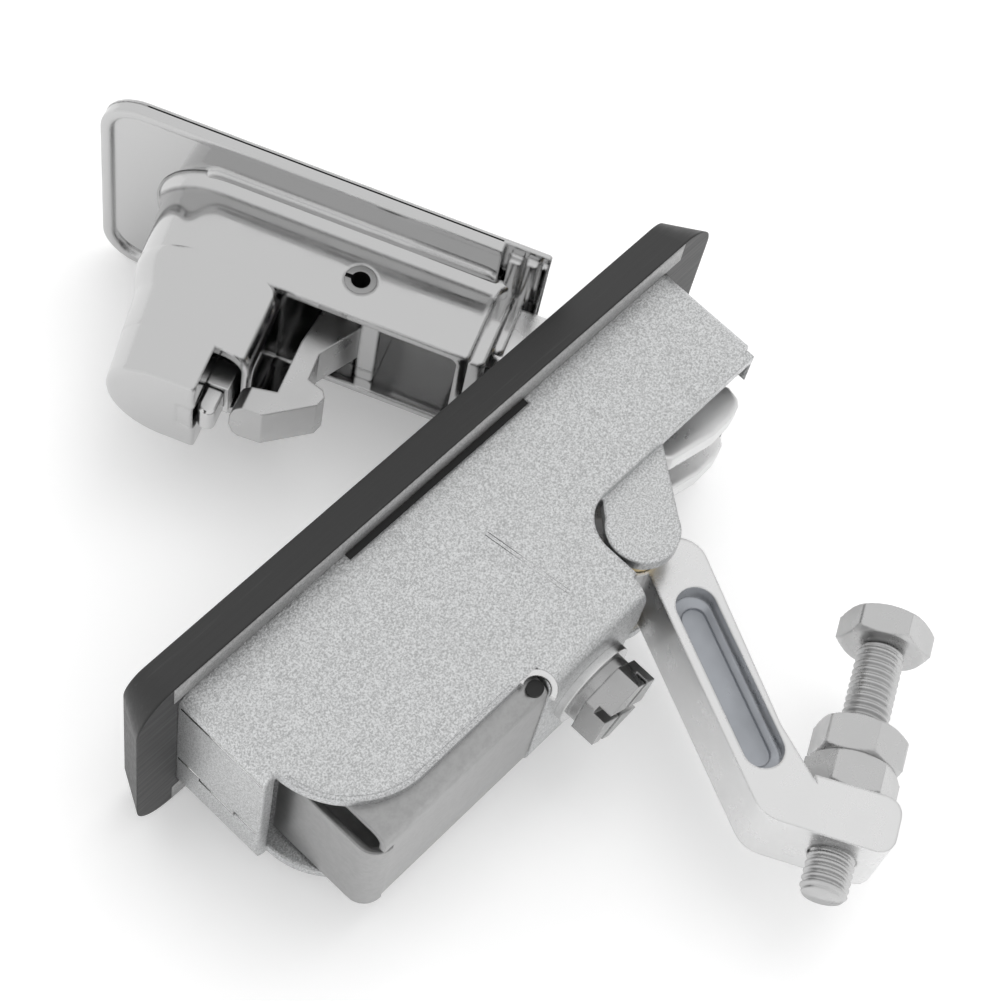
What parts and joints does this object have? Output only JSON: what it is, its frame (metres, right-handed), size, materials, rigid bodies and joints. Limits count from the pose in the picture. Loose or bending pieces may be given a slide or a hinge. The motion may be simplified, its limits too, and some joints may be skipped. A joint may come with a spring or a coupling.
{
  "type": "lever compression latch",
  "caption": "Flush lever compression latch: swing-out handle in a bezel drives a cranked arm with an adjustable bolt behind the panel.",
  "frame": {"origin": "centre of the flange's back face, where the flange seats on the panel", "axes": "+X along the flange towards the lock end, +Y through the panel towards the back of the latch, +Z across the flange; both pivots turn about Z"},
  "size_m": [0.133, 0.1803, 0.048],
  "materials": {
    "bezel_black": "satin black coating with fine scratches",
    "zinc_sheet": "spangled zinc plating, bright at the bends",
    "box_sheet": "smooth dull zinc plating",
    "screw_steel": "dull zinc plating",
    "zinc_bright": "bright zinc plating",
    "pin_steel": "plain bright steel",
    "bush_brass": "turned",
    "handle_chrome": "bright chrome over a die casting",
    "hook_zinc": "bright zinc plating",
    "lock_steel": "nickel plating",
    "arm_zinc": "bright plated casting",
    "bolt_zinc": "bright zinc plating"
  },
  "bodies": {
    "base": {"bezel": "bezel_black", "outer_bracket": "zinc_sheet", "deep_box": "box_sheet", "cheek_near": "zinc_sheet", "cheek_far": "zinc_sheet", "catch_plate": "box_sheet", "back_screw": "screw_steel", "flat_washer": "zinc_bright", "spring_washer": "screw_steel", "handle_hinge_pin": "pin_steel", "arm_pivot_pin": "pin_steel", "hinge_bush_near": "bush_brass", "hinge_bush_far": "bush_brass", "arm_bush_near": "bush_brass", "arm_bush_far": "bush_brass"},
    "handle": {"handle": "handle_chrome", "hook_pin": "pin_steel", "lock_cylinder": "lock_steel", "link_pin_handle": "pin_steel"},
    "hook": {"hook_lever": "hook_zinc"},
    "plug": {"lock_plug": "lock_steel"},
    "lock_bolt": {"lock_bolt": "lock_steel"},
    "link": {"drive_link": "pin_steel"},
    "arm": {"arm": "arm_zinc", "link_pin_arm": "pin_steel", "adjusting_bolt": "bolt_zinc", "upper_nut": "bolt_zinc", "lower_nut": "bolt_zinc"}
  },
  "joints": [
    {"name": "handle_swing", "type": "hinge", "parent": "base", "child": "handle", "pos_m": [-0.03025, 0.00695, 0], "axis": [0, 0, 1], "range_deg": [0, 66.6]},
    {"name": "arm_swing", "type": "hinge", "parent": "base", "child": "arm", "pos_m": [-0.0173, 0.0292, 0], "axis": [0, 0, 1], "range_deg": [0, 66.6]},
    {"name": "link_turn", "type": "hinge", "parent": "handle", "child": "link", "pos_m": [-0.02666, -0.0002, 0], "axis": [0, 0, 1], "range_deg": [-66.6, 0]},
    {"name": "hook_turn", "type": "hinge", "parent": "handle", "child": "hook", "pos_m": [-0.0182, -0.03589, 0], "axis": [0, 0, 1], "range_deg": [0, 5]},
    {"name": "key_turn", "type": "hinge", "parent": "handle", "child": "plug", "pos_m": [-0.00273, -0.05665, 0], "axis": [0.9178, 0.3971, 0], "range_deg": [0, 90]},
    {"name": "lock_slide", "type": "slide", "parent": "handle", "child": "lock_bolt", "axis": [0.3971, -0.9178, 0], "range_m": [0, 0.003]}
  ],
  "couplings": [
    {"joint": "arm_swing", "follows": "handle_swing", "ratio": 1},
    {"joint": "link_turn", "follows": "handle_swing", "ratio": -1},
    {"joint": "lock_slide", "follows": "key_turn", "m_per_rad": 0.0019}
  ]
}
